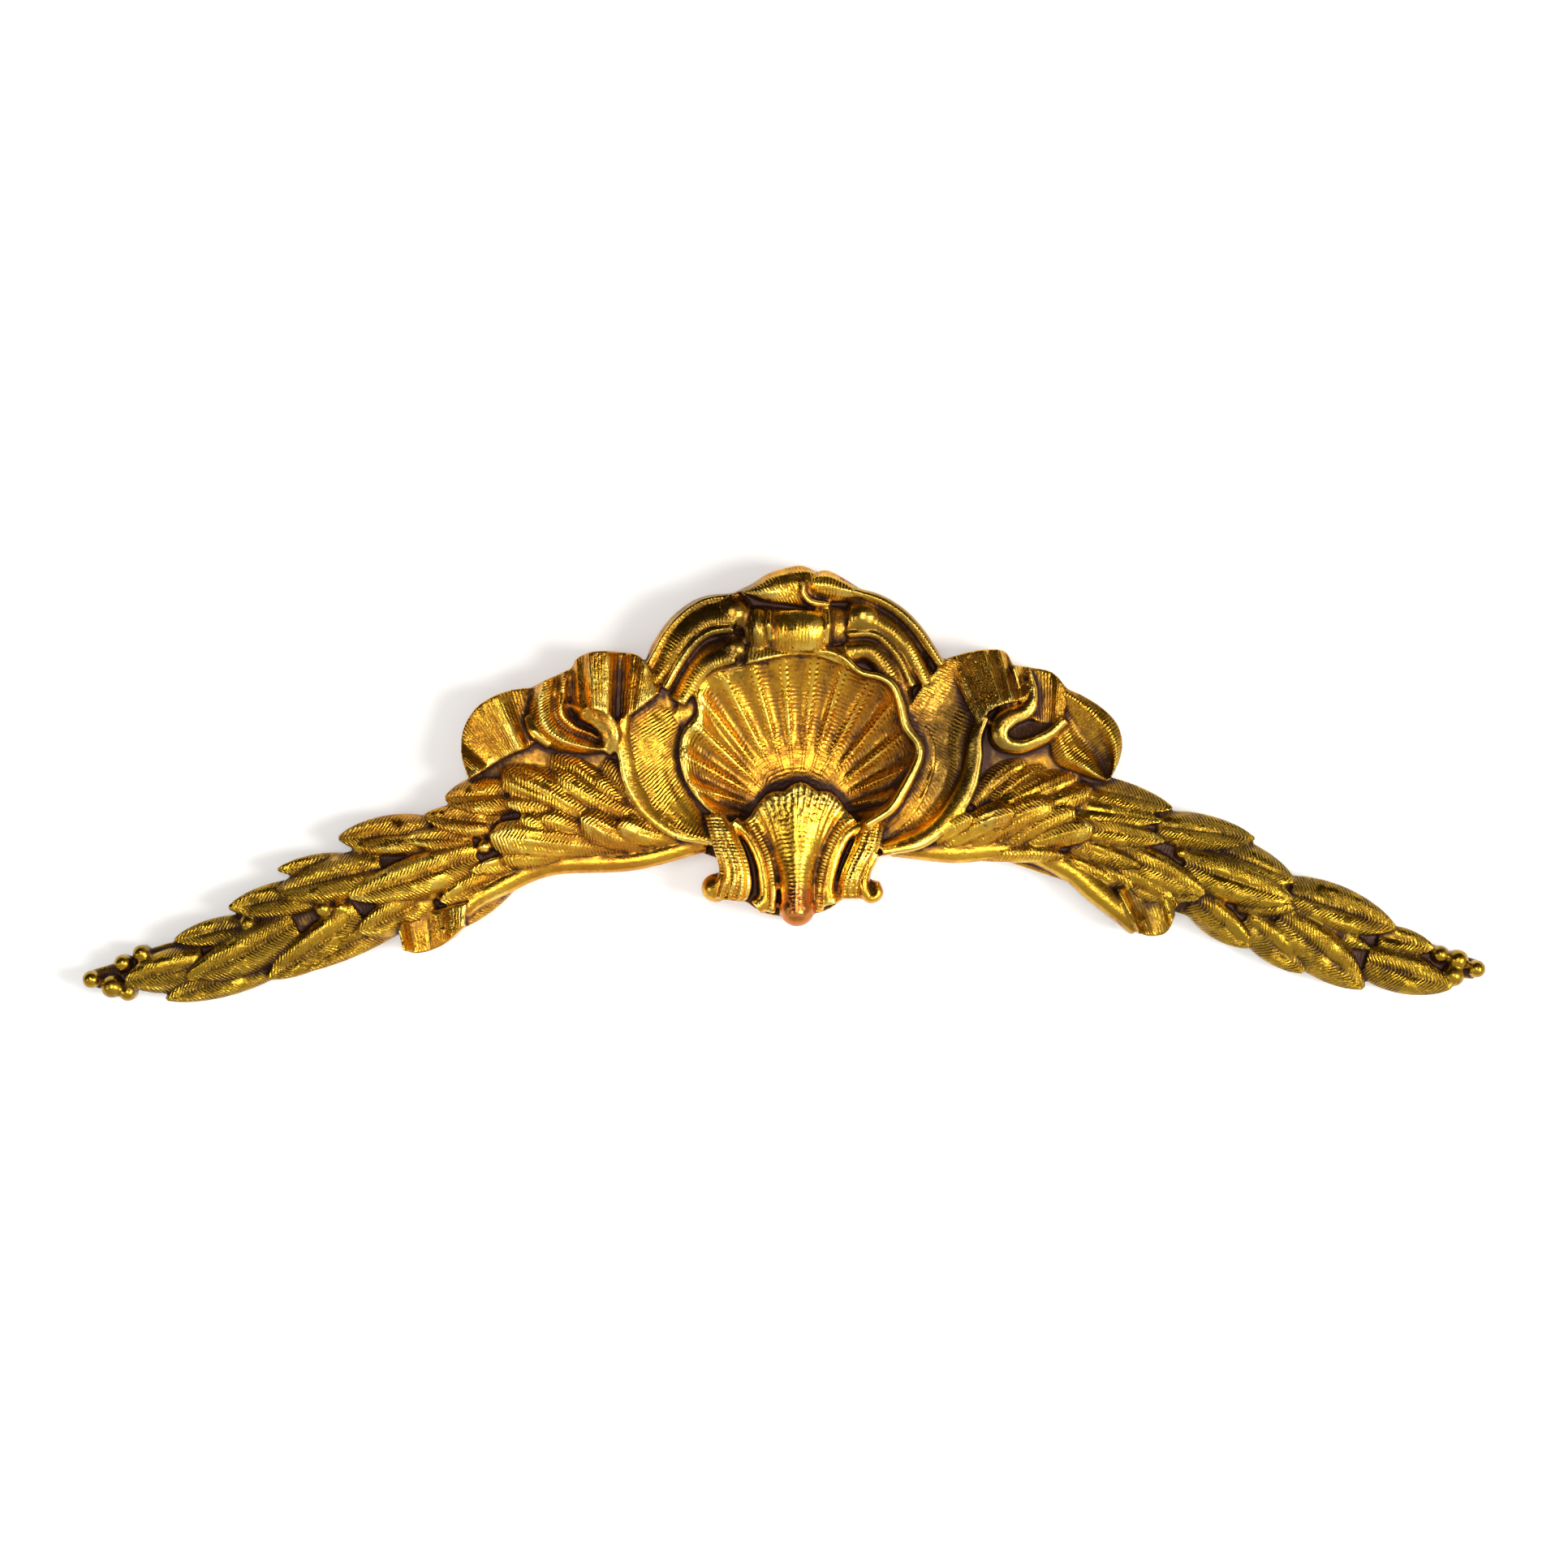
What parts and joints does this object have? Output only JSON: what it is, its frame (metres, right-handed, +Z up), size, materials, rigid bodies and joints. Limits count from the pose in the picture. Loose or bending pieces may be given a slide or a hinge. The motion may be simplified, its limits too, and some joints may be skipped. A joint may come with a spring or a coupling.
{
  "type": "pediment mount",
  "caption": "Cast gilt bronze furniture mount: a shell under a scrolled crest, between ruffled ears and two drooping laurel sprays with berries.",
  "frame": {"origin": "middle of the flat back, level with the shell's centre", "axes": "+X along the mount to its right end, +Z up, the carved front faces -Y and the flat back faces +Y"},
  "size_m": [0.347, 0.0192, 0.1076],
  "materials": {
    "gilt_bronze": "chased and gilded, worn, with a dark purple-brown patina in the hollows"
  },
  "bodies": {
    "root": {"pediment_mount": "gilt_bronze"}
  },
  "joints": []
}
